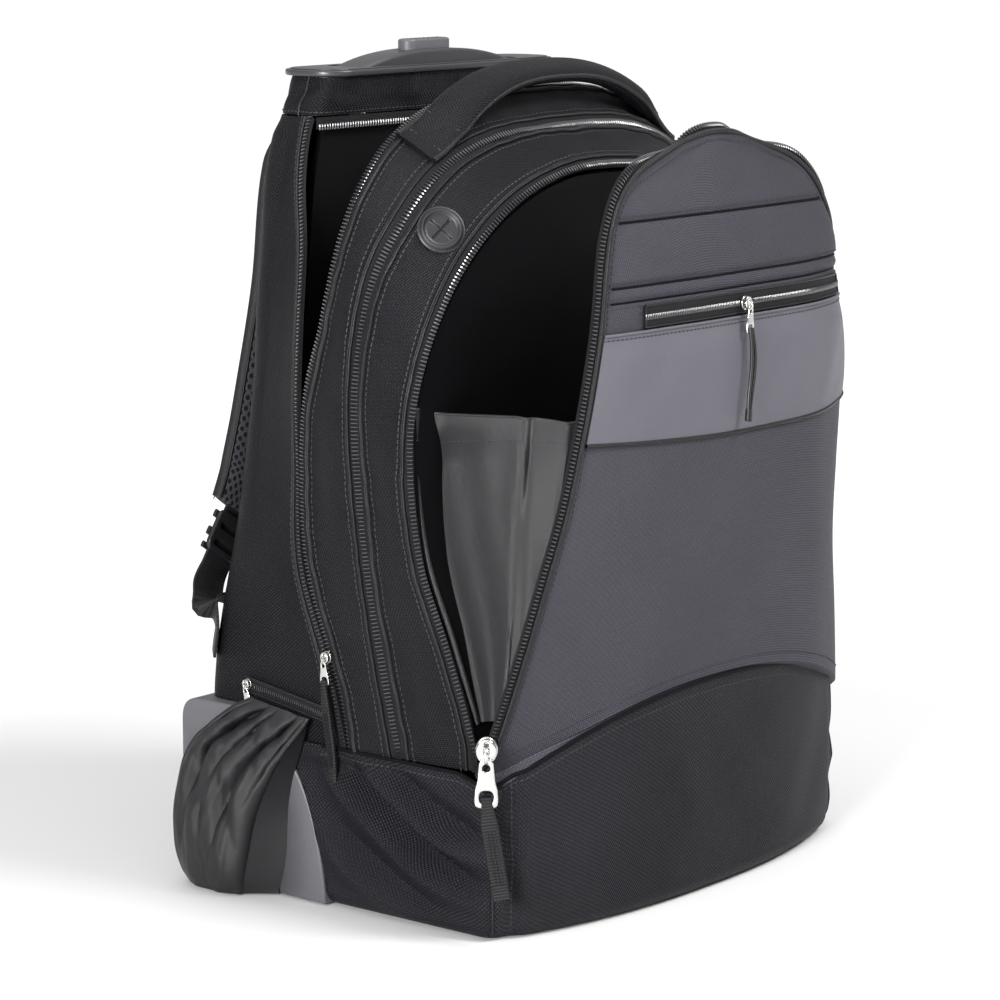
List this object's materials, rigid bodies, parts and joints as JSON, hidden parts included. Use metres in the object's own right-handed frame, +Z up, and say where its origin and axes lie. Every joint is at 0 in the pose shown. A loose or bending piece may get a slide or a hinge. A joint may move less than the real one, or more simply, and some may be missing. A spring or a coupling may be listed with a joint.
{
  "type": "wheeled backpack",
  "caption": "Soft charcoal wheeled backpack standing upright with its front pocket pulled open, a retracted trolley handle, padded shoulder straps and recessed wheels.",
  "frame": {"origin": "below the middle of the whole part's box, on the floor it stands on", "axes": "+Z up, the front of the bag faces -Y, +X is to the right seen from the front"},
  "size_m": [0.3852, 0.295, 0.505],
  "materials": {
    "cloth": "woven polyester, charcoal",
    "gusset_cloth": "woven polyester with a slight shine",
    "satin": "smooth coated band",
    "lining": "grey lining",
    "zip": "black zip tape and coil",
    "webbing": "ribbed black webbing",
    "mesh_cloth": "black spacer mesh over foam",
    "nylon": "black nylon, satin",
    "housing_plastic": "dark grey moulded plastic",
    "tyre": "black tyre",
    "rubber": "black rubber port",
    "chrome": "polished",
    "aluminium": "drawn tube, satin",
    "axle_steel": "plated"
  },
  "bodies": {
    "bag": {"base_shell": "cloth", "back_shell": "cloth", "top_collar": "cloth", "front_flap": "cloth", "wheel_cover": "cloth", "main_gusset": "gusset_cloth", "front_gusset": "gusset_cloth", "phone_band": "satin", "laptop_wall": "lining", "main_wall": "lining", "front_wall": "lining", "pocket_web": "lining", "laptop_zip_front": "zip", "laptop_zip_back": "zip", "main_zip": "zip", "front_zip_body": "zip", "front_zip_flap": "zip", "phone_zip": "zip", "pocket_zip_right": "zip", "pocket_zip_left": "zip", "webbing_right": "webbing", "webbing_left": "webbing", "front_pull": "webbing", "phone_pull": "webbing", "laptop_right_pull": "webbing", "laptop_left_pull": "webbing", "front_right_pull": "webbing", "back_pad": "mesh_cloth", "strap_right": "mesh_cloth", "strap_left": "mesh_cloth", "grab_handle": "nylon", "buckle_right": "nylon", "buckle_left": "nylon", "wheel_housing_right": "housing_plastic", "wheel_housing_left": "housing_plastic", "trolley_cap": "housing_plastic", "cable_port": "rubber", "front_slider": "chrome", "phone_slider": "chrome", "laptop_right_slider": "chrome", "laptop_left_slider": "chrome", "pocket_right_slider": "chrome", "pocket_left_slider": "chrome", "front_right_slider": "chrome", "strap_ring": "chrome", "tube_frame": "aluminium", "axle_right": "axle_steel", "axle_left": "axle_steel"},
    "wheel_left": {"tyre_left": "tyre", "hub_left": "housing_plastic"},
    "wheel_right": {"tyre_right": "tyre", "hub_right": "housing_plastic"},
    "trolley_middle": {"middle_tube_right": "aluminium", "middle_tube_left": "aluminium"},
    "trolley_top": {"inner_tube_right": "aluminium", "inner_tube_left": "aluminium", "grip": "housing_plastic"},
    "push_button": {"push_button": "chrome"}
  },
  "joints": [
    {"name": "wheel_right_spin", "type": "hinge", "parent": "bag", "child": "wheel_right", "pos_m": [0.167, 0.1003, 0.036], "axis": [1, 0, 0], "continuous": true},
    {"name": "wheel_left_spin", "type": "hinge", "parent": "bag", "child": "wheel_left", "pos_m": [-0.145, 0.1003, 0.036], "axis": [1, 0, 0], "continuous": true},
    {"name": "trolley_middle_slide", "type": "slide", "parent": "bag", "child": "trolley_middle", "axis": [0, 0, 1], "range_m": [0, 0.24]},
    {"name": "trolley_top_slide", "type": "slide", "parent": "trolley_middle", "child": "trolley_top", "axis": [0, 0, 1], "range_m": [0, 0.24]},
    {"name": "button_press", "type": "slide", "parent": "trolley_top", "child": "push_button", "axis": [0, 0, -1], "range_m": [0, 0.003], "stiffness_N_per_m": 400, "springref_m": -0.003}
  ]
}
